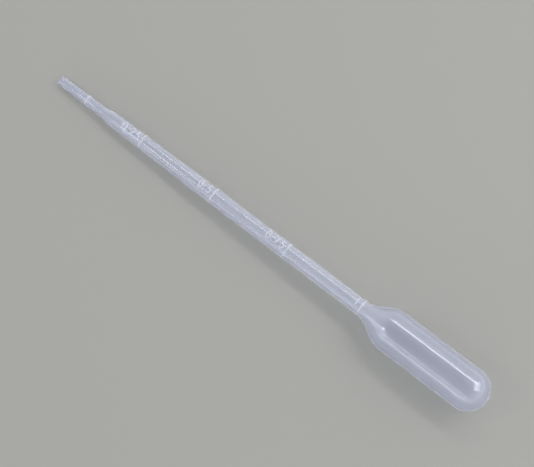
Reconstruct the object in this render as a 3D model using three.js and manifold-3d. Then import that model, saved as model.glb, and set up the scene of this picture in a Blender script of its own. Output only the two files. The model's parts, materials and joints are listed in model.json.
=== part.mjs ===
// A plastic dropper pipette, moulded in one piece: squeeze bulb, graduated stem and drawn tip.
// Millimetres, +Z up. It lies as it comes to rest, with its tip towards -X and its bulb towards +X.
import * as THREE from 'three';
import { mergeVertices } from 'three/addons/utils/BufferGeometryUtils.js';
import Module from 'manifold-3d';

// Drawn tip, from its open mouth to its root.
const TIP_LENGTH = 17.6;
const TIP_MOUTH_DIAMETER = 2.8;
const TIP_ROOT_DIAMETER = 3.3;
const TIP_WALL = 0.5;

// Step where the drawn tip widens into the stem.
const STEP_LENGTH = 1.4;

// Stem: it widens a little over its taper and then runs straight up to the neck.
const STEM_LENGTH = 95.3;
const STEM_FOOT_DIAMETER = 4.3;
const STEM_DIAMETER = 5.0;
const STEM_TAPER_LENGTH = 34;
const STEM_WALL = 0.75;

// Shoulder cone between the neck and the bulb, rounded where it meets them.
const SHOULDER_LENGTH = 7.1;
const NECK_ROUNDING = 1.4;
const SHOULDER_ROUNDING = 1.8;

// Squeeze bulb: a straight barrel closed by a shallow dome.
const BULB_DIAMETER = 13;
const BARREL_LENGTH = 29;
const DOME_DEPTH = 6;
const BULB_WALL = 0.5;

// Raised marks across the upper side: graduations counted down from the neck, and one on the tip.
const MARK_COUNT = 4;
const MARK_SPACING = 27;
const TOP_MARK_BELOW_NECK = 1.6;
const TIP_MARK_FROM_MOUTH = 10.5;
const MARK_WIDTH = 0.5;
const MARK_HEIGHT = 0.2;
const MARK_BITE = 0.15;
const MARK_ARC_DEG = 110;

// Facets round the axis, and pieces in each rounded stretch of the outline.
const SIDES = 26;
const CURVE_PIECES = 4;
const WELD_TOLERANCE = 1e-4;

// Heights along the axis, measured from the tip's mouth.
const STEP_END = TIP_LENGTH + STEP_LENGTH;
const TAPER_END = STEP_END + STEM_TAPER_LENGTH;
const NECK = STEP_END + STEM_LENGTH;
const SHOULDER = NECK + SHOULDER_LENGTH;
const BARREL_END = SHOULDER + BARREL_LENGTH;

const wasm = await Module();
wasm.setup();

/** A closed three.js geometry as a manifold solid. */
function toSolid(geometry) {
  const bare = geometry.clone();
  bare.deleteAttribute('normal');
  bare.deleteAttribute('uv');
  const welded = mergeVertices(bare, WELD_TOLERANCE);
  return new wasm.Manifold(new wasm.Mesh({
    numProp: 3,
    vertProperties: new Float32Array(welded.attributes.position.array),
    triVerts: new Uint32Array(welded.index.array),
  }));
}

/** A manifold solid as a three.js geometry. */
function toGeometry(solid) {
  const mesh = solid.getMesh();
  const geometry = new THREE.BufferGeometry();
  geometry.setAttribute('position', new THREE.BufferAttribute(mesh.vertProperties, 3));
  geometry.setIndex(new THREE.BufferAttribute(mesh.triVerts, 1));
  geometry.computeVertexNormals();
  return geometry;
}

/** One skin of the moulding from mouth to dome, set in from the outside by each stretch's inset. */
function skin(tipInset, stemInset, bulbInset) {
  const stem = new THREE.Vector2(STEM_DIAMETER / 2 - stemInset, NECK);
  const bulb = new THREE.Vector2(BULB_DIAMETER / 2 - bulbInset, SHOULDER);
  const slope = bulb.clone().sub(stem).normalize();
  const afterNeck = stem.clone().addScaledVector(slope, NECK_ROUNDING);
  const beforeBulb = bulb.clone().addScaledVector(slope, -SHOULDER_ROUNDING);
  const path = new THREE.Path();
  path.moveTo(TIP_MOUTH_DIAMETER / 2 - tipInset, 0);
  path.lineTo(TIP_ROOT_DIAMETER / 2 - tipInset, TIP_LENGTH);
  path.lineTo(STEM_FOOT_DIAMETER / 2 - stemInset, STEP_END);
  path.lineTo(stem.x, TAPER_END);
  path.lineTo(stem.x, NECK - NECK_ROUNDING);
  path.quadraticCurveTo(stem.x, stem.y, afterNeck.x, afterNeck.y);
  path.lineTo(beforeBulb.x, beforeBulb.y);
  path.quadraticCurveTo(bulb.x, bulb.y, bulb.x, SHOULDER + SHOULDER_ROUNDING);
  path.lineTo(bulb.x, BARREL_END);
  path.absellipse(0, BARREL_END, bulb.x, DOME_DEPTH - bulbInset, 0, Math.PI / 2);
  return path.getPoints(CURVE_PIECES);
}

const OUTER = skin(0, 0, 0);

/** A solid of revolution about +Y, with a flat facet squarely on each of its -Z and +Z sides. */
function revolve(points) {
  return toSolid(new THREE.LatheGeometry(points, SIDES, Math.PI / SIDES));
}

/** The thin wall: down the inner skin, across the mouth and up the outer skin. */
function wall() {
  const inner = skin(TIP_WALL, STEM_WALL, BULB_WALL);
  return revolve([...inner.reverse(), ...OUTER]);
}

/** The outer radius at a height along the axis. */
function radiusAt(height) {
  const above = OUTER.findIndex((point) => point.y >= height);
  const high = OUTER[above];
  const low = OUTER[above - 1];
  return THREE.MathUtils.mapLinear(height, low.y, high.y, low.x, high.x);
}

/** One graduation mark: the upper arc of a low ring that bites into the wall. */
function mark(height) {
  const bottom = height - MARK_WIDTH / 2;
  const top = height + MARK_WIDTH / 2;
  const thinner = Math.min(radiusAt(bottom), radiusAt(top));
  const thicker = Math.max(radiusAt(bottom), radiusAt(top));
  const foot = thinner - MARK_BITE;
  const crest = thicker + MARK_HEIGHT;
  const ring = revolve([
    new THREE.Vector2(foot, bottom),
    new THREE.Vector2(crest, bottom),
    new THREE.Vector2(crest, top),
    new THREE.Vector2(foot, top),
    new THREE.Vector2(foot, bottom),
  ]);
  const cut = crest * Math.cos(THREE.MathUtils.degToRad(MARK_ARC_DEG / 2));
  const upper = new THREE.BoxGeometry(2 * crest, 2 * MARK_WIDTH, crest);
  upper.translate(0, height, cut + crest / 2);
  return ring.intersect(toSolid(upper));
}

/** How high above the mouth an upright solid balances, from its volume's first moment. */
function balanceHeight(geometry) {
  const corners = geometry.toNonIndexed().attributes.position;
  const [a, b, c] = [new THREE.Vector3(), new THREE.Vector3(), new THREE.Vector3()];
  let volume = 0;
  let moment = 0;
  for (let i = 0; i < corners.count; i += 3) {
    a.fromBufferAttribute(corners, i);
    b.fromBufferAttribute(corners, i + 1);
    c.fromBufferAttribute(corners, i + 2);
    const cone = new THREE.Vector3().crossVectors(a, b).dot(c) / 6;
    volume += cone;
    moment += cone * (a.y + b.y + c.y) / 4;
  }
  return moment / volume;
}

/** How far the axis tips when the solid lies on its two widest places either side of its balance. */
function restingTilt(balance) {
  const facetDepth = Math.cos(Math.PI / SIDES);
  const below = OUTER.filter((point) => point.y < balance);
  const above = OUTER.filter((point) => point.y >= balance);
  let widest = 0;
  let tilt = 0;
  for (const low of below) {
    for (const high of above) {
      const width = THREE.MathUtils.mapLinear(balance, low.y, high.y, low.x, high.x);
      if (width > widest) {
        widest = width;
        tilt = Math.atan2((high.x - low.x) * facetDepth, high.y - low.y);
      }
    }
  }
  return tilt;
}

/** The whole moulding, standing on its tip along +Y. */
function moulding() {
  let solid = wall().add(mark(TIP_MARK_FROM_MOUTH));
  for (let i = 0; i < MARK_COUNT; i += 1) {
    solid = solid.add(mark(NECK - TOP_MARK_BELOW_NECK - i * MARK_SPACING));
  }
  return toGeometry(solid);
}

const milkyPolyethylene = new THREE.MeshStandardMaterial({
  color: 0xd3d6e4,
  roughness: 0.22,
  metalness: 0,
  transparent: true,
  opacity: 0.5,
});

const pipette = new THREE.Mesh(moulding(), milkyPolyethylene);
pipette.name = 'pipette';
pipette.rotation.z = -Math.PI / 2;

// Lay the pipette down, then set its footprint's centre on the origin.
const lying = new THREE.Group();
lying.rotation.y = -restingTilt(balanceHeight(pipette.geometry));
lying.add(pipette);
const root = new THREE.Group();
root.add(lying);
root.updateMatrixWorld(true);
const extent = new THREE.Box3().setFromObject(root, true);
const centre = extent.getCenter(new THREE.Vector3());
lying.position.set(-centre.x, -centre.y, -extent.min.z);

export default root;
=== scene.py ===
"""A plastic dropper pipette in milky polyethylene, lying on a pale floor under studio light.

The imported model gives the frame: the middle of the tip's mouth and the direction of the axis.
The moulding is drawn again there as a smooth thin wall, with its raised marks, its numerals and
the fine seam that the two halves of the mould leave. All sizes are in metres.
"""

import json
import logging
import math
from collections.abc import Sequence
from dataclasses import dataclass, field
from enum import Enum
from functools import cached_property

import bpy
from mathutils import Matrix, Vector


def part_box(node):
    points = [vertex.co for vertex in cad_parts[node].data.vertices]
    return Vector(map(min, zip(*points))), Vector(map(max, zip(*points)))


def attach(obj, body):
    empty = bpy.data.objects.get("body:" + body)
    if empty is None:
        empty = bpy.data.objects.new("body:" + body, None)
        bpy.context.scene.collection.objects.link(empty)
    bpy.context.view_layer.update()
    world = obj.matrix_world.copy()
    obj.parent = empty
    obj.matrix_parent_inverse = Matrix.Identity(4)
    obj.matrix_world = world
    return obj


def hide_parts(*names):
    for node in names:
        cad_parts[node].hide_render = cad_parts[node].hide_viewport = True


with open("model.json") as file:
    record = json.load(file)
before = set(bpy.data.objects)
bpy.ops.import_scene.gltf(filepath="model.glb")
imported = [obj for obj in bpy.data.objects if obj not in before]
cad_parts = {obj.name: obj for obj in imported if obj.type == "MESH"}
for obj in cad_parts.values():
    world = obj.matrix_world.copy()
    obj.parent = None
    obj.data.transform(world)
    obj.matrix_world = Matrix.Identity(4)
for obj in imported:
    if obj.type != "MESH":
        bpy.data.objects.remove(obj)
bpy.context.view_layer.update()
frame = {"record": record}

MM = 0.001
NODE = "pipette"
BODY = "root"
SLOT = "milky_polyethylene"
FROSTING = "frosting"

log = logging.getLogger("pipette")


class Join(Enum):
    """What a boolean modifier keeps of the two solids."""

    UNION = "UNION"
    INTERSECT = "INTERSECT"


def clear_selection() -> None:
    """Leave edit mode and deselect every object."""
    if bpy.context.object and bpy.context.object.mode != "OBJECT":
        bpy.ops.object.mode_set(mode="OBJECT")
    bpy.ops.object.select_all(action="DESELECT")


def make_active(obj: bpy.types.Object) -> None:
    """Select one object alone and make it the active one.

    Args:
        obj: The object that the next operators act on.
    """
    clear_selection()
    obj.select_set(True)
    bpy.context.view_layer.objects.active = obj


def finish_modifier(obj: bpy.types.Object, modifier: bpy.types.Modifier) -> None:
    """Apply a modifier.

    Args:
        obj: The modifier's object.
        modifier: The modifier.
    """
    make_active(obj)
    bpy.ops.object.modifier_apply(modifier=modifier.name)


def resize(obj: bpy.types.Object, factor: float) -> None:
    """Scale an object's mesh about the origin.

    Args:
        obj: The object.
        factor: How many times as large it becomes.
    """
    make_active(obj)
    obj.scale = (factor, factor, factor)
    bpy.ops.object.transform_apply(location=False, rotation=False, scale=True)


def settle_order(obj: bpy.types.Object) -> None:
    """List a mesh's points and faces in order of place, so that every run makes the same mesh.

    Args:
        obj: The mesh's object.
    """
    mesh = obj.data
    points = [tuple(vertex.co) for vertex in mesh.vertices]
    order = sorted(range(len(points)), key=points.__getitem__)
    rank = {old: new for new, old in enumerate(order)}
    faces = []
    for face in mesh.polygons:
        corners = [rank[i] for i in face.vertices]
        first = corners.index(min(corners))
        faces.append(corners[first:] + corners[:first])
    mesh.clear_geometry()
    mesh.from_pydata([points[i] for i in order], [], sorted(faces))


def merge_into(target: bpy.types.Object, tool: bpy.types.Object, how: Join) -> None:
    """Apply a boolean modifier to one solid and remove the other.

    Args:
        target: The solid that is changed.
        tool: The solid that is joined or cut with, and then removed.
        how: What the modifier keeps.
    """
    modifier = target.modifiers.new(how.value, "BOOLEAN")
    modifier.operation = how.value
    modifier.solver = "EXACT"
    modifier.object = tool
    finish_modifier(target, modifier)
    bpy.data.objects.remove(tool)


@dataclass(frozen=True)
class Inset:
    """How far a skin lies inside the outer surface along each stretch of the moulding."""

    tip: float = 0.0
    stem: float = 0.0
    bulb: float = 0.0

    @classmethod
    def even(cls, depth: float) -> "Inset":
        """The same inset everywhere; a negative one stands proud."""
        return cls(depth, depth, depth)


@dataclass(frozen=True)
class Outline:
    """Half of the moulding's outline, as distance along the axis from the mouth and radius."""

    tip_length: float = 17.6 * MM
    mouth_radius: float = 1.4 * MM
    tip_root_radius: float = 1.65 * MM
    step_length: float = 1.4 * MM
    stem_length: float = 95.3 * MM
    stem_foot_radius: float = 2.15 * MM
    stem_radius: float = 2.5 * MM
    stem_taper_length: float = 34 * MM
    shoulder_length: float = 7.1 * MM
    neck_rounding: float = 1.4 * MM
    shoulder_rounding: float = 1.8 * MM
    bulb_radius: float = 6.5 * MM
    barrel_length: float = 29 * MM
    dome_depth: float = 6 * MM
    bend_pieces: int = 10
    dome_pieces: int = 26

    @property
    def step_end(self) -> float:
        """Where the step has widened into the stem."""
        return self.tip_length + self.step_length

    @property
    def neck(self) -> float:
        """Where the stem meets the shoulder."""
        return self.step_end + self.stem_length

    @property
    def shoulder(self) -> float:
        """Where the shoulder meets the bulb's barrel."""
        return self.neck + self.shoulder_length

    @property
    def barrel_end(self) -> float:
        """Where the barrel runs into the dome."""
        return self.shoulder + self.barrel_length

    def bend(self, start: Vector, corner: Vector, end: Vector) -> list[Vector]:
        """Points of a smooth bend that leaves one line and joins another.

        Args:
            start: Where the bend leaves the first line.
            corner: Where the two lines would meet.
            end: Where the bend joins the second line.

        Returns:
            The bend's points from start to end.
        """
        shares = [i / self.bend_pieces for i in range(self.bend_pieces + 1)]
        return [start.lerp(corner, t).lerp(corner.lerp(end, t), t) for t in shares]

    def dome(self, radius: float, depth: float) -> list[Vector]:
        """Points of the dome from the barrel's end to its pole.

        Args:
            radius: The barrel's radius.
            depth: How far the dome stands out past the barrel.

        Returns:
            The points after the barrel's end, the last one on the axis.
        """
        turns = [math.pi / 2 * i / self.dome_pieces for i in range(1, self.dome_pieces)]
        curve = [
            Vector((self.barrel_end + depth * math.sin(a), radius * math.cos(a))) for a in turns
        ]
        return [*curve, Vector((self.barrel_end + depth, 0.0))]

    def skin(self, inset: Inset) -> list[Vector]:
        """One skin of the moulding, from its mouth to the dome's pole.

        Args:
            inset: How far the skin lies inside the outer surface.

        Returns:
            The skin's points.
        """
        stem = Vector((self.neck, self.stem_radius - inset.stem))
        bulb = Vector((self.shoulder, self.bulb_radius - inset.bulb))
        slope = (bulb - stem).normalized()
        along = Vector((1.0, 0.0))
        return [
            Vector((0.0, self.mouth_radius - inset.tip)),
            Vector((self.tip_length, self.tip_root_radius - inset.tip)),
            Vector((self.step_end, self.stem_foot_radius - inset.stem)),
            Vector((self.step_end + self.stem_taper_length, stem.y)),
            *self.bend(
                stem - along * self.neck_rounding, stem, stem + slope * self.neck_rounding
            ),
            *self.bend(
                bulb - slope * self.shoulder_rounding,
                bulb,
                bulb + along * self.shoulder_rounding,
            ),
            Vector((self.barrel_end, bulb.y)),
            *self.dome(bulb.y, self.dome_depth - inset.bulb),
        ]

    @cached_property
    def outer(self) -> list[Vector]:
        """The outer skin, worked out once."""
        return self.skin(Inset())

    def radius_at(self, distance: float) -> float:
        """The outer radius at a distance along the axis.

        Args:
            distance: How far from the mouth.

        Returns:
            The radius there.
        """
        for low, high in zip(self.outer, self.outer[1:]):
            if distance <= high.x:
                share = (distance - low.x) / (high.x - low.x)
                return low.lerp(high, share).y
        return self.outer[-1].y


@dataclass(frozen=True)
class Lathe:
    """Turns thin shells of the outline about the X axis."""

    outline: Outline
    steps: int = 96
    # Points nearer to each other than this become one.
    weld: float = 0.001 * MM

    def draw(self, name: str, points: Sequence[Vector]) -> bpy.types.Object:
        """Draw a line of edges by extruding one point along it.

        Args:
            name: The new object's name.
            points: Distance along the axis and radius of each point.

        Returns:
            An object that is left in edit mode with all of its line selected.
        """
        clear_selection()
        bpy.ops.mesh.primitive_plane_add(size=MM, location=(points[0].x, 0.0, points[0].y))
        obj = bpy.context.object
        obj.name = name
        bpy.ops.object.transform_apply(location=True, rotation=False, scale=False)
        bpy.ops.object.mode_set(mode="EDIT")
        bpy.ops.mesh.select_mode(type="VERT")
        bpy.ops.mesh.select_all(action="SELECT")
        bpy.ops.mesh.merge(type="CENTER")
        for here, there in zip(points, points[1:]):
            step = there - here
            bpy.ops.mesh.extrude_region_move(
                TRANSFORM_OT_translate={"value": (step.x, 0.0, step.y)}
            )
        bpy.ops.mesh.select_all(action="SELECT")
        return obj

    def shell(self, name: str, outer: Inset, inner: Inset) -> bpy.types.Object:
        """Turn the closed shell between two skins.

        Args:
            name: The new object's name.
            outer: Where the shell's outer skin lies.
            inner: Where its inner skin lies.

        Returns:
            The shell, open at the mouth and closed at the dome.
        """
        down = self.outline.skin(inner)[::-1]
        obj = self.draw(name, [*down, *self.outline.skin(outer)])
        bpy.ops.mesh.spin(
            steps=self.steps, angle=math.tau, center=(0.0, 0.0, 0.0), axis=(1.0, 0.0, 0.0)
        )
        bpy.ops.mesh.select_all(action="SELECT")
        bpy.ops.mesh.remove_doubles(threshold=self.weld)
        bpy.ops.mesh.normals_make_consistent(inside=False)
        bpy.ops.object.mode_set(mode="OBJECT")
        # The operators list the faces in an order that changes from run to run.
        settle_order(obj)
        return obj


@dataclass
class RaisedScale:
    """Raised graduation lines and numerals on the upper side of the stem."""

    outline: Outline
    numerals: tuple[str, ...] = ("1", "0.75", "0.5", "0.25")
    spacing: float = 27 * MM
    top_below_neck: float = 1.6 * MM
    tip_mark: float = 10.5 * MM
    line_width: float = 0.5 * MM
    line_arc: float = math.radians(110)
    # How far the relief stands proud of the wall, and how far its foot goes into it.
    height: float = 0.2 * MM
    bite: float = 0.15 * MM
    numeral_size: float = 3.6 * MM
    # Clear space between a numeral and its line.
    numeral_gap: float = 0.9 * MM
    # How high above the axis a numeral's prism starts.
    numeral_foot: float = 0.5 * MM
    numeral_steps: int = 4
    letter_spacing: float = 1.12
    letter_weight: float = 0.05 * MM
    # The relief is remeshed at this grain, smoothed, and thinned out to a share of its faces.
    grain: float = 0.045 * MM
    smoothing: float = 0.5
    smoothing_rounds: int = 4
    share_kept: float = 0.25

    def line(self, distance: float) -> bpy.types.Object:
        """A block that stamps one line across the upper side.

        Args:
            distance: The line's place along the axis.

        Returns:
            The block.
        """
        crest = self.outline.radius_at(distance) + self.height
        half_arc = self.line_arc / 2
        lowest = crest * math.cos(half_arc)
        clear_selection()
        bpy.ops.mesh.primitive_cube_add(size=1.0, location=(distance, 0.0, lowest + crest / 2))
        block = bpy.context.object
        block.scale = (self.line_width, 2 * crest, crest)
        bpy.ops.object.transform_apply(location=True, rotation=False, scale=True)
        return block

    def numeral(self, text: str, line: float) -> bpy.types.Object:
        """A prism that stamps one numeral on the mouth's side of its line.

        Args:
            text: The numeral.
            line: Its line's place along the axis.

        Returns:
            The prism.
        """
        clear_selection()
        bpy.ops.object.text_add()
        obj = bpy.context.object
        letters = obj.data
        letters.body = text
        letters.size = self.numeral_size
        letters.space_character = self.letter_spacing
        letters.align_x = "RIGHT"
        letters.align_y = "CENTER"
        letters.resolution_u = self.numeral_steps
        half_depth = self.outline.stem_radius
        letters.extrude = half_depth
        letters.offset = self.letter_weight
        bpy.ops.object.convert(target="MESH")
        obj = bpy.context.object
        obj.location = (line - self.numeral_gap, 0.0, self.numeral_foot + half_depth)
        bpy.ops.object.transform_apply(location=True, rotation=False, scale=False)
        return obj

    def stamps(self) -> bpy.types.Object:
        """Make all the blocks and prisms, one object that the sleeve is cut with.

        Returns:
            The joined object.
        """
        pieces = [self.line(self.tip_mark)]
        top = self.outline.neck - self.top_below_neck
        for i, text in enumerate(self.numerals):
            distance = top - i * self.spacing
            pieces += [self.line(distance), self.numeral(text, distance)]
        clear_selection()
        for piece in pieces:
            piece.select_set(True)
        bpy.context.view_layer.objects.active = pieces[0]
        bpy.ops.object.join()
        return bpy.context.object

    def frost(self, piece: bpy.types.Object) -> None:
        """Note how far each point stands proud of the plain wall, for the finish to read.

        Args:
            piece: The moulding with its relief, its mouth at the origin.
        """
        values = []
        for vertex in piece.data.vertices:
            at = vertex.co
            proud = math.hypot(at.y, at.z) - self.outline.radius_at(at.x)
            on_scale = at.z > 0.0 and at.x < self.outline.neck
            values.append(min(max(proud / self.height, 0.0), 1.0) if on_scale else 0.0)
        layer = piece.data.attributes.new(FROSTING, "FLOAT", "POINT")
        layer.data.foreach_set("value", values)

    def soften(self, relief: bpy.types.Object) -> None:
        """Round the edges as the mould leaves them, at a scale that the remesh can work at.

        Args:
            relief: The lines and numerals with sharp edges.
        """
        resize(relief, 1 / MM)
        remesh = relief.modifiers.new("remesh", "REMESH")
        remesh.mode = "VOXEL"
        remesh.voxel_size = self.grain / MM
        finish_modifier(relief, remesh)
        smooth = relief.modifiers.new("smooth", "SMOOTH")
        smooth.factor = self.smoothing
        smooth.iterations = self.smoothing_rounds
        finish_modifier(relief, smooth)
        thin_out = relief.modifiers.new("thin_out", "DECIMATE")
        thin_out.ratio = self.share_kept
        finish_modifier(relief, thin_out)
        resize(relief, MM)

    def build(self, lathe: Lathe) -> bpy.types.Object:
        """Cut the stamps out of a low sleeve round the moulding.

        Args:
            lathe: Turns the sleeve.

        Returns:
            The lines and numerals, which bite a little into the wall.
        """
        relief = lathe.shell("raised_scale", Inset.even(-self.height), Inset.even(self.bite))
        merge_into(relief, self.stamps(), Join.INTERSECT)
        self.soften(relief)
        return relief


@dataclass
class MouldSeam:
    """What the mould's halves leave: a fine ridge all round, and a short weld over the dome."""

    outline: Outline
    width: float = 0.16 * MM
    height: float = 0.05 * MM
    weld_width: float = 0.45 * MM
    weld_length: float = 4.4 * MM
    weld_height: float = 0.13 * MM
    weld_rounding: float = 0.065 * MM
    weld_rounding_pieces: int = 3
    # Edges of the weld that turn by more than this are rounded.
    sharp_from: float = math.radians(40)
    # How far the ridge and the weld go into the wall.
    bite: float = 0.15 * MM
    # Where the ridge starts, clear of the rounded rim.
    from_mouth: float = 0.4 * MM
    # How far the cutting slabs reach past the moulding.
    overrun: float = 6 * MM

    def slab(self, start: float, breadth: float, thickness: float) -> bpy.types.Object:
        """A level slab through the axis that ends beyond the dome.

        Args:
            start: Where it begins along the axis.
            breadth: Its size across the axis.
            thickness: Its size from bottom to top.

        Returns:
            The slab.
        """
        pole = self.outline.barrel_end + self.outline.dome_depth
        length = pole + self.overrun - start
        clear_selection()
        bpy.ops.mesh.primitive_cube_add(size=1.0, location=(start + length / 2, 0.0, 0.0))
        slab = bpy.context.object
        slab.scale = (length, breadth, thickness)
        bpy.ops.object.transform_apply(location=True, rotation=False, scale=True)
        return slab

    def ridge(self, lathe: Lathe) -> bpy.types.Object:
        """Cut the ridge out of a very low sleeve round the moulding.

        Args:
            lathe: Turns the sleeve.

        Returns:
            The ridge.
        """
        ridge = lathe.shell("mould_seam", Inset.even(-self.height), Inset.even(self.bite))
        breadth = 2 * (self.outline.bulb_radius + self.overrun)
        slab = self.slab(self.from_mouth, breadth, self.width)
        merge_into(ridge, slab, Join.INTERSECT)
        return ridge

    def weld(self, lathe: Lathe) -> bpy.types.Object:
        """Cut the weld, where the mould pinched the bulb shut, out of a low sleeve.

        Args:
            lathe: Turns the sleeve.

        Returns:
            The weld, with rounded edges.
        """
        weld = lathe.shell("weld", Inset.even(-self.weld_height), Inset.even(self.bite))
        slab = self.slab(self.outline.barrel_end, self.weld_length, self.weld_width)
        merge_into(weld, slab, Join.INTERSECT)
        bevel = weld.modifiers.new("bevel", "BEVEL")
        bevel.width = self.weld_rounding
        bevel.segments = self.weld_rounding_pieces
        bevel.limit_method = "ANGLE"
        bevel.angle_limit = self.sharp_from
        finish_modifier(weld, bevel)
        return weld

    def build(self, lathe: Lathe) -> bpy.types.Object:
        """Make the ridge and the weld as one solid.

        Args:
            lathe: Turns the sleeves.

        Returns:
            The seam, which bites a little into the wall.
        """
        seam = self.ridge(lathe)
        merge_into(seam, self.weld(lathe), Join.UNION)
        return seam


@dataclass(frozen=True)
class Cloud:
    """A soft noise pattern, longer along the pipette than across it, as the melt flowed."""

    length: float
    width: float
    low: float
    high: float
    detail: float = 2.0
    # Shifts the pattern, so that no two run alike.
    seed: float = 0.0
    # The stretch of the noise that is spread from low to high.
    noise_low: float = 0.3
    noise_high: float = 0.7

    def add(self, tree: bpy.types.NodeTree, place: bpy.types.NodeSocket) -> bpy.types.NodeSocket:
        """Add the pattern to a material.

        Args:
            tree: The material's nodes.
            place: The object's own coordinates.

        Returns:
            A value that wanders between low and high.
        """
        stretch = tree.nodes.new("ShaderNodeMapping")
        stretch.inputs["Location"].default_value = (self.seed, 0.0, 0.0)
        stretch.inputs["Scale"].default_value = (1 / self.length, 1 / self.width, 1 / self.width)
        noise = tree.nodes.new("ShaderNodeTexNoise")
        noise.inputs["Scale"].default_value = 1.0
        noise.inputs["Detail"].default_value = self.detail
        span = tree.nodes.new("ShaderNodeMapRange")
        span.inputs["From Min"].default_value = self.noise_low
        span.inputs["From Max"].default_value = self.noise_high
        span.inputs["To Min"].default_value = self.low
        span.inputs["To Max"].default_value = self.high
        tree.links.new(place, stretch.inputs["Vector"])
        tree.links.new(stretch.outputs["Vector"], noise.inputs["Vector"])
        tree.links.new(noise.outputs["Fac"], span.inputs["Value"])
        return span.outputs["Result"]


@dataclass(frozen=True)
class MilkyPolyethylene:
    """Soft polyethylene, clear with a faint milky lavender cast, smooth but not quite polished."""

    body: tuple[float, float, float] = (0.835, 0.855, 0.952)
    refraction: float = 1.51
    shadow_tint: tuple[float, float, float] = (0.885, 0.892, 0.91)
    clarity: Cloud = Cloud(length=14 * MM, width=5 * MM, low=0.925, high=0.955)
    # Milkiness inside the wall: its colour, its density, and how much it scatters onwards.
    haze: tuple[float, float, float] = (0.975, 0.98, 1.0)
    haze_per_metre: float = 190.0
    haze_forward: float = 0.3
    # What the crest of the relief loses in clarity and gains in roughness.
    frost_haze: float = 0.27
    frost_roughness: float = 0.25
    gloss: Cloud = Cloud(
        length=6 * MM, width=2.2 * MM, low=0.08, high=0.14, detail=4.0, seed=3.0
    )
    flow_lines: Cloud = Cloud(
        length=16 * MM, width=0.9 * MM, low=0.0, high=0.0035 * MM, seed=7.0
    )
    peel: Cloud = Cloud(
        length=0.8 * MM, width=0.6 * MM, low=0.0, high=0.0006 * MM, detail=1.0, seed=11.0
    )

    def relief(
        self, tree: bpy.types.NodeTree, place: bpy.types.NodeSocket
    ) -> bpy.types.NodeSocket:
        """Add the flow lines and the faint orange peel of the skin.

        Args:
            tree: The material's nodes.
            place: The object's own coordinates.

        Returns:
            The normal that the patterns give.
        """
        normal: bpy.types.NodeSocket | None = None
        for pattern in (self.flow_lines, self.peel):
            bump = tree.nodes.new("ShaderNodeBump")
            bump.inputs["Distance"].default_value = 1.0
            tree.links.new(pattern.add(tree, place), bump.inputs["Height"])
            if normal:
                tree.links.new(normal, bump.inputs["Normal"])
            normal = bump.outputs["Normal"]
        return normal

    def frosted(
        self, tree: bpy.types.NodeTree, plain: bpy.types.NodeSocket, change: float
    ) -> bpy.types.NodeSocket:
        """Change a value where the mould's engraving has left the relief matt.

        Args:
            tree: The material's nodes.
            plain: The value on the smooth wall.
            change: What is added to it on the crest of the relief.

        Returns:
            The value with the relief's share added.
        """
        crest = tree.nodes.new("ShaderNodeAttribute")
        crest.attribute_name = FROSTING
        add = tree.nodes.new("ShaderNodeMath")
        add.operation = "MULTIPLY_ADD"
        add.inputs[1].default_value = change
        tree.links.new(crest.outputs["Fac"], add.inputs[0])
        tree.links.new(plain, add.inputs[2])
        return add.outputs[0]

    def build(self) -> bpy.types.Material:
        """Make the material.

        Returns:
            The material. Light on its way to the floor passes it as it would a tinted film.
        """
        material = bpy.data.materials.new(SLOT)
        material.use_nodes = True
        tree = material.node_tree
        tree.nodes.clear()
        place = tree.nodes.new("ShaderNodeTexCoord").outputs["Object"]
        surface = tree.nodes.new("ShaderNodeBsdfPrincipled")
        surface.inputs["Base Color"].default_value = (*self.body, 1.0)
        surface.inputs["IOR"].default_value = self.refraction
        # The export reads these two plain numbers beside the patterns that override them.
        surface.inputs["Transmission Weight"].default_value = self.clarity.high
        surface.inputs["Roughness"].default_value = self.gloss.low
        clarity = self.frosted(tree, self.clarity.add(tree, place), -self.frost_haze)
        gloss = self.frosted(tree, self.gloss.add(tree, place), self.frost_roughness)
        tree.links.new(clarity, surface.inputs["Transmission Weight"])
        tree.links.new(gloss, surface.inputs["Roughness"])
        tree.links.new(self.relief(tree, place), surface.inputs["Normal"])
        film = tree.nodes.new("ShaderNodeBsdfTransparent")
        film.inputs["Color"].default_value = (*self.shadow_tint, 1.0)
        rays = tree.nodes.new("ShaderNodeLightPath")
        shader = surface.outputs[0]
        for kind in ("Is Shadow Ray", "Is Diffuse Ray"):
            mix = tree.nodes.new("ShaderNodeMixShader")
            tree.links.new(rays.outputs[kind], mix.inputs[0])
            tree.links.new(shader, mix.inputs[1])
            tree.links.new(film.outputs[0], mix.inputs[2])
            shader = mix.outputs[0]
        haze = tree.nodes.new("ShaderNodeVolumeScatter")
        haze.inputs["Color"].default_value = (*self.haze, 1.0)
        haze.inputs["Density"].default_value = self.haze_per_metre
        haze.inputs["Anisotropy"].default_value = self.haze_forward
        output = tree.nodes.new("ShaderNodeOutputMaterial")
        tree.links.new(shader, output.inputs["Surface"])
        tree.links.new(haze.outputs[0], output.inputs["Volume"])
        return material


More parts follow.
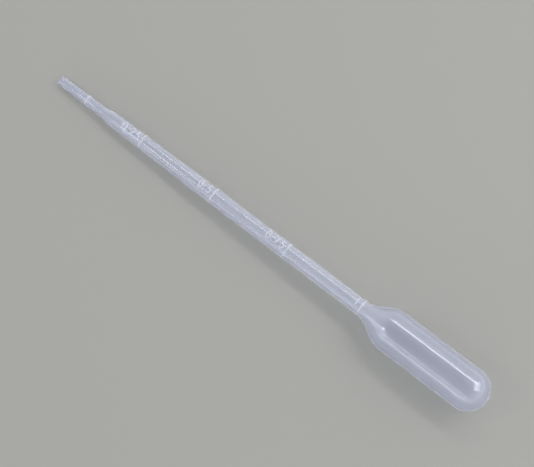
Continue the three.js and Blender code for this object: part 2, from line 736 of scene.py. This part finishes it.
@dataclass
class Pipette:
    """The whole moulding: thin wall, raised scale and mould seam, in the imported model's place."""

    outline: Outline = field(default_factory=Outline)
    wall: Inset = Inset(0.5 * MM, 0.75 * MM, 0.5 * MM)
    finish: MilkyPolyethylene = field(default_factory=MilkyPolyethylene)
    # Faces that meet at less than this are shaded as one smooth surface.
    crease: float = math.radians(30)
    rim_rounding: float = 0.11 * MM
    rim_rounding_pieces: int = 4

    def round_rim(self, piece: bpy.types.Object) -> None:
        """Round both edges of the cut end of the tip.

        Args:
            piece: The bare shell, its mouth at the origin.
        """
        make_active(piece)
        bpy.ops.object.mode_set(mode="EDIT")
        bpy.ops.mesh.select_all(action="DESELECT")
        bpy.ops.object.mode_set(mode="OBJECT")
        near = self.rim_rounding / 2
        for edge in piece.data.edges:
            ends = [piece.data.vertices[i].co for i in edge.vertices]
            on_rim = all(abs(end.x) < near for end in ends)
            radii = [math.hypot(end.y, end.z) for end in ends]
            edge.select = on_rim and abs(radii[0] - radii[1]) < near
        bpy.ops.object.mode_set(mode="EDIT")
        bpy.ops.mesh.select_mode(type="EDGE")
        bpy.ops.mesh.bevel(
            offset=self.rim_rounding, segments=self.rim_rounding_pieces, clamp_overlap=True
        )
        bpy.ops.object.mode_set(mode="OBJECT")

    def place(self) -> Matrix:
        """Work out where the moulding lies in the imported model's frame.

        Returns:
            The move from the drawing's frame, which has the mouth's middle as its origin.
        """
        mount = frame["record"]["mounts"][0]
        axis = -Vector(mount["axis"]).normalized()
        # The mount's point lies on the wall beside the bore, level with the mouth's middle.
        mouth = Vector((mount["pos_m"][0], 0.0, mount["pos_m"][2]))
        across = Vector((0.0, 1.0, 0.0))
        turn = Matrix((axis, across, axis.cross(across))).transposed()
        return Matrix.Translation(mouth) @ turn.to_4x4()

    def build(self) -> bpy.types.Object:
        """Model, place and dress the moulding.

        Returns:
            The finished piece.
        """
        lathe = Lathe(self.outline)
        piece = lathe.shell("dropper_pipette", Inset(), self.wall)
        self.round_rim(piece)
        scale = RaisedScale(self.outline)
        merge_into(piece, scale.build(lathe), Join.UNION)
        scale.frost(piece)
        merge_into(piece, MouldSeam(self.outline).build(lathe), Join.UNION)
        make_active(piece)
        piece.matrix_world = self.place()
        bpy.ops.object.transform_apply(location=True, rotation=True, scale=True)
        lowest = min(v.co.z for v in piece.data.vertices)
        piece.location.z = -lowest
        bpy.ops.object.transform_apply(location=True, rotation=False, scale=False)
        piece.data.materials.clear()
        piece.data.materials.append(self.finish.build())
        bpy.ops.object.shade_smooth_by_angle(angle=self.crease)
        return piece


@dataclass(frozen=True)
class PaleFloor:
    """A plain round floor in a pale warm grey."""

    colour: tuple[float, float, float] = (0.34, 0.337, 0.315)
    radius: float = 3.0
    sides: int = 64
    roughness: float = 0.85

    def build(self) -> bpy.types.Object:
        """Lay the floor.

        Returns:
            The floor, which isn't part of the object.
        """
        clear_selection()
        bpy.ops.mesh.primitive_circle_add(
            vertices=self.sides, radius=self.radius, fill_type="NGON"
        )
        floor = bpy.context.object
        floor.name = "floor"
        material = bpy.data.materials.new("pale_floor")
        material.use_nodes = True
        surface = material.node_tree.nodes["Principled BSDF"]
        surface.inputs["Base Color"].default_value = (*self.colour, 1.0)
        surface.inputs["Roughness"].default_value = self.roughness
        floor.data.materials.append(material)
        return floor


@dataclass(frozen=True)
class SoftLamp:
    """A rectangular studio lamp that faces the middle of the set."""

    name: str
    direction: tuple[float, float, float]
    distance: float
    width: float
    depth: float
    power: float

    def build(self) -> bpy.types.Object:
        """Hang the lamp.

        Returns:
            The lamp, its width level.
        """
        data = bpy.data.lights.new(self.name, "AREA")
        data.shape = "RECTANGLE"
        data.size = self.width
        data.size_y = self.depth
        data.energy = self.power
        lamp = bpy.data.objects.new(self.name, data)
        bpy.context.scene.collection.objects.link(lamp)
        towards = Vector(self.direction).normalized()
        lamp.location = towards * self.distance
        lamp.rotation_euler = towards.to_track_quat("Z", "Y").to_euler()
        return lamp


@dataclass(frozen=True)
class Studio:
    """Plain soft light: four soft lamps, and a pale surround that is dimmer overhead.

    The softbox and the low strip each draw a bright line along the bulb, one on either side of
    its crest. The dome panel and the shoulder panel draw the glints at its two ends.
    """

    lamps: tuple[SoftLamp, ...] = (
        SoftLamp(
            name="softbox",
            direction=(0.0, 0.52, 0.854),
            distance=1.3,
            width=1.3,
            depth=0.2,
            power=4.8,
        ),
        SoftLamp(
            name="dome_panel",
            direction=(0.548, 0.393, 0.739),
            distance=1.35,
            width=1.0,
            depth=0.8,
            power=9.0,
        ),
        SoftLamp(
            name="low_strip",
            direction=(0.0, -0.965, 0.26),
            distance=1.3,
            width=1.3,
            depth=0.2,
            power=1.6,
        ),
        SoftLamp(
            name="shoulder_panel",
            direction=(-0.45, -0.5, 0.74),
            distance=1.3,
            width=0.28,
            depth=0.28,
            power=1.9,
        ),
    )
    surround: tuple[float, float, float] = (0.86, 0.89, 0.93)
    level_strength: float = 1.66
    overhead_strength: float = 0.05
    # How often light is followed inside the haze, and how bright a bounce may be.
    haze_bounces: int = 8
    brightest_bounce: float = 4.0

    def light_surround(self) -> None:
        """Set the surround's light, which falls off evenly from level to overhead."""
        world = bpy.data.worlds.new("studio")
        bpy.context.scene.world = world
        world.use_nodes = True
        tree = world.node_tree
        background = tree.nodes["Background"]
        background.inputs["Color"].default_value = (*self.surround, 1.0)
        direction = tree.nodes.new("ShaderNodeTexCoord")
        parts = tree.nodes.new("ShaderNodeSeparateXYZ")
        fall = tree.nodes.new("ShaderNodeMapRange")
        fall.inputs["To Min"].default_value = self.level_strength
        fall.inputs["To Max"].default_value = self.overhead_strength
        tree.links.new(direction.outputs["Generated"], parts.inputs[0])
        tree.links.new(parts.outputs["Z"], fall.inputs["Value"])
        tree.links.new(fall.outputs["Result"], background.inputs["Strength"])

    def build(self) -> None:
        """Light the set and say how the light is followed and shown."""
        self.light_surround()
        for lamp in self.lamps:
            lamp.build()
        scene = bpy.context.scene
        scene.view_settings.view_transform = "Standard"
        scene.cycles.volume_bounces = self.haze_bounces
        scene.cycles.sample_clamp_indirect = self.brightest_bounce


@dataclass(frozen=True)
class OverheadCamera:
    """A camera high above the pipette, a little beyond its bulb and to one side of it."""

    azimuth: float = math.radians(-50.7)
    elevation: float = math.radians(71.2)
    distance: float = 0.602
    lens: float = 143.0
    # Nothing nearer than this is drawn.
    nearest: float = 0.01

    def build(self) -> bpy.types.Object:
        """Set up the camera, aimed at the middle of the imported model's box.

        Returns:
            The scene's camera.
        """
        low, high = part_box(NODE)
        middle = (low + high) / 2
        level = math.cos(self.elevation)
        towards = Vector(
            (
                level * math.cos(self.azimuth),
                level * math.sin(self.azimuth),
                math.sin(self.elevation),
            )
        )
        data = bpy.data.cameras.new("camera")
        data.lens = self.lens
        data.clip_start = self.nearest
        camera = bpy.data.objects.new("camera", data)
        bpy.context.scene.collection.objects.link(camera)
        camera.location = middle + towards * self.distance
        camera.rotation_euler = towards.to_track_quat("Z", "Y").to_euler()
        bpy.context.scene.camera = camera
        return camera


def main() -> None:
    """Build the set and the pipette."""
    logging.basicConfig(level=logging.INFO, format="%(name)s: %(message)s")
    OverheadCamera().build()
    piece = Pipette().build()
    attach(piece, BODY)
    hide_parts(NODE)
    log.info("%s: %d faces", piece.name, len(piece.data.polygons))
    PaleFloor().build()
    Studio().build()


if __name__ == "__main__":
    main()
